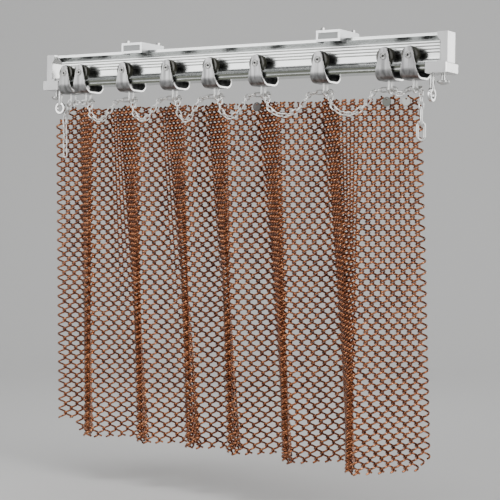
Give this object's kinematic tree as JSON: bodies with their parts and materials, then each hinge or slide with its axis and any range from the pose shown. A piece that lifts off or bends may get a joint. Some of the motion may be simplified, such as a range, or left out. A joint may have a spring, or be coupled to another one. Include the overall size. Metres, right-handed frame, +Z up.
{
  "type": "coil mesh curtain",
  "caption": "Pleated copper-coloured metal coil mesh hung from roller carriers on a short I-beam track, with ceiling brackets, end stops and a swagged spacer chain.",
  "frame": {"origin": "middle of the ceiling brackets' free holes, on the ceiling plane above the middle of the track", "axes": "+X along the track to the right, +Y to the back, away from the side with the chain, +Z up"},
  "size_m": [0.4393, 0.0624, 0.3904],
  "materials": {
    "coil_mesh": "copper-coloured anodised wire, glossy",
    "track": "silver anodised, satin",
    "bracket": "grey, satin",
    "screws": "zinc plated",
    "end_stop": "silver anodised, satin",
    "eye_bolt": "plated, satin",
    "carrier": "plated, bright satin",
    "wheel": "dark nylon, smooth",
    "rivet": "plated",
    "hanger": "plated wire",
    "chain": "plated wire, bright",
    "dark_tag": "dark, satin",
    "tag": "plain, satin"
  },
  "bodies": {
    "track": {"track": "track", "ceiling_bracket_left": "bracket", "ceiling_screws_left": "screws", "end_block_left": "end_stop", "end_upright_left": "end_stop", "end_screw_left": "screws", "ceiling_bracket_right": "bracket", "ceiling_screws_right": "screws", "end_block_right": "end_stop", "end_upright_right": "end_stop", "end_screw_right": "screws", "carrier_yoke_1": "carrier", "carrier_rivets_1": "rivet", "hanger_1": "hanger", "carrier_yoke_2": "carrier", "carrier_rivets_2": "rivet", "hanger_2": "hanger", "curtain_left": "coil_mesh", "curtain_middle": "coil_mesh", "spacer_chain_left": "chain", "spacer_chain_middle": "chain", "tag_disc_middle": "dark_tag"},
    "lead": {"carrier_yoke_8": "carrier", "carrier_rivets_8": "rivet", "hanger_8": "hanger", "carrier_yoke_9": "carrier", "carrier_rivets_9": "rivet", "hanger_9": "hanger", "curtain_right": "coil_mesh", "spacer_chain_right": "chain", "tag_discs_right": "tag"},
    "carrier_3": {"carrier_yoke_3": "carrier", "carrier_rivets_3": "rivet", "hanger_3": "hanger"},
    "carrier_4": {"carrier_yoke_4": "carrier", "carrier_rivets_4": "rivet", "hanger_4": "hanger"},
    "carrier_5": {"carrier_yoke_5": "carrier", "carrier_rivets_5": "rivet", "hanger_5": "hanger"},
    "carrier_6": {"carrier_yoke_6": "carrier", "carrier_rivets_6": "rivet", "hanger_6": "hanger"},
    "carrier_7": {"carrier_yoke_7": "carrier", "carrier_rivets_7": "rivet", "hanger_7": "hanger"},
    "wheels_1": {"carrier_wheels_1": "wheel"},
    "wheels_2": {"carrier_wheels_2": "wheel"},
    "wheels_3": {"carrier_wheels_3": "wheel"},
    "wheels_4": {"carrier_wheels_4": "wheel"},
    "wheels_5": {"carrier_wheels_5": "wheel"},
    "wheels_6": {"carrier_wheels_6": "wheel"},
    "wheels_7": {"carrier_wheels_7": "wheel"},
    "wheels_8": {"carrier_wheels_8": "wheel"},
    "wheels_9": {"carrier_wheels_9": "wheel"},
    "eye_left": {"eye_bolt_left": "eye_bolt"},
    "eye_right": {"eye_bolt_right": "eye_bolt"}
  },
  "joints": [
    {"name": "draw", "type": "slide", "parent": "track", "child": "lead", "axis": [-1, 0, 0], "range_m": [0, 0.2], "deforming": ["curtain_middle", "spacer_chain_middle", "tag_disc_middle"]},
    {"name": "slide_3", "type": "slide", "parent": "track", "child": "carrier_3", "axis": [-1, 0, 0], "range_m": [0, 0.0318]},
    {"name": "slide_4", "type": "slide", "parent": "track", "child": "carrier_4", "axis": [-1, 0, 0], "range_m": [0, 0.063]},
    {"name": "slide_5", "type": "slide", "parent": "track", "child": "carrier_5", "axis": [-1, 0, 0], "range_m": [0, 0.0916]},
    {"name": "slide_6", "type": "slide", "parent": "track", "child": "carrier_6", "axis": [-1, 0, 0], "range_m": [0, 0.1224]},
    {"name": "slide_7", "type": "slide", "parent": "track", "child": "carrier_7", "axis": [-1, 0, 0], "range_m": [0, 0.1614]},
    {"name": "spin_1", "type": "hinge", "parent": "track", "child": "wheels_1", "pos_m": [-0.1927, 0, -0.0252], "axis": [0, -1, 0], "continuous": true},
    {"name": "spin_2", "type": "hinge", "parent": "track", "child": "wheels_2", "pos_m": [-0.1737, 0, -0.0252], "axis": [0, -1, 0], "continuous": true},
    {"name": "spin_3", "type": "hinge", "parent": "carrier_3", "child": "wheels_3", "pos_m": [-0.12072, 0, -0.0252], "axis": [0, -1, 0], "continuous": true},
    {"name": "spin_4", "type": "hinge", "parent": "carrier_4", "child": "wheels_4", "pos_m": [-0.06874, 0, -0.0252], "axis": [0, -1, 0], "continuous": true},
    {"name": "spin_5", "type": "hinge", "parent": "carrier_5", "child": "wheels_5", "pos_m": [-0.02109, 0, -0.0252], "axis": [0, -1, 0], "continuous": true},
    {"name": "spin_6", "type": "hinge", "parent": "carrier_6", "child": "wheels_6", "pos_m": [0.03022, 0, -0.0252], "axis": [0, -1, 0], "continuous": true},
    {"name": "spin_7", "type": "hinge", "parent": "carrier_7", "child": "wheels_7", "pos_m": [0.09519, 0, -0.0252], "axis": [0, -1, 0], "continuous": true},
    {"name": "spin_8", "type": "hinge", "parent": "lead", "child": "wheels_8", "pos_m": [0.1595, 0, -0.0252], "axis": [0, -1, 0], "continuous": true},
    {"name": "spin_9", "type": "hinge", "parent": "lead", "child": "wheels_9", "pos_m": [0.1831, 0, -0.0252], "axis": [0, -1, 0], "continuous": true},
    {"name": "eye_turn_left", "type": "hinge", "parent": "track", "child": "eye_left", "pos_m": [-0.20545, -0.005, -0.05], "axis": [0, 0, 1], "continuous": true},
    {"name": "eye_turn_right", "type": "hinge", "parent": "track", "child": "eye_right", "pos_m": [0.20115, -0.005, -0.05], "axis": [0, 0, 1], "continuous": true}
  ],
  "couplings": [
    {"joint": "slide_3", "follows": "draw", "ratio": 0.159},
    {"joint": "slide_4", "follows": "draw", "ratio": 0.315},
    {"joint": "slide_5", "follows": "draw", "ratio": 0.458},
    {"joint": "slide_6", "follows": "draw", "ratio": 0.612},
    {"joint": "slide_7", "follows": "draw", "ratio": 0.807},
    {"joint": "spin_3", "follows": "draw", "rad_per_m": 19.39},
    {"joint": "spin_4", "follows": "draw", "rad_per_m": 38.415},
    {"joint": "spin_5", "follows": "draw", "rad_per_m": 55.854},
    {"joint": "spin_6", "follows": "draw", "rad_per_m": 74.634},
    {"joint": "spin_7", "follows": "draw", "rad_per_m": 98.415},
    {"joint": "spin_8", "follows": "draw", "rad_per_m": 121.95},
    {"joint": "spin_9", "follows": "draw", "rad_per_m": 121.95}
  ]
}
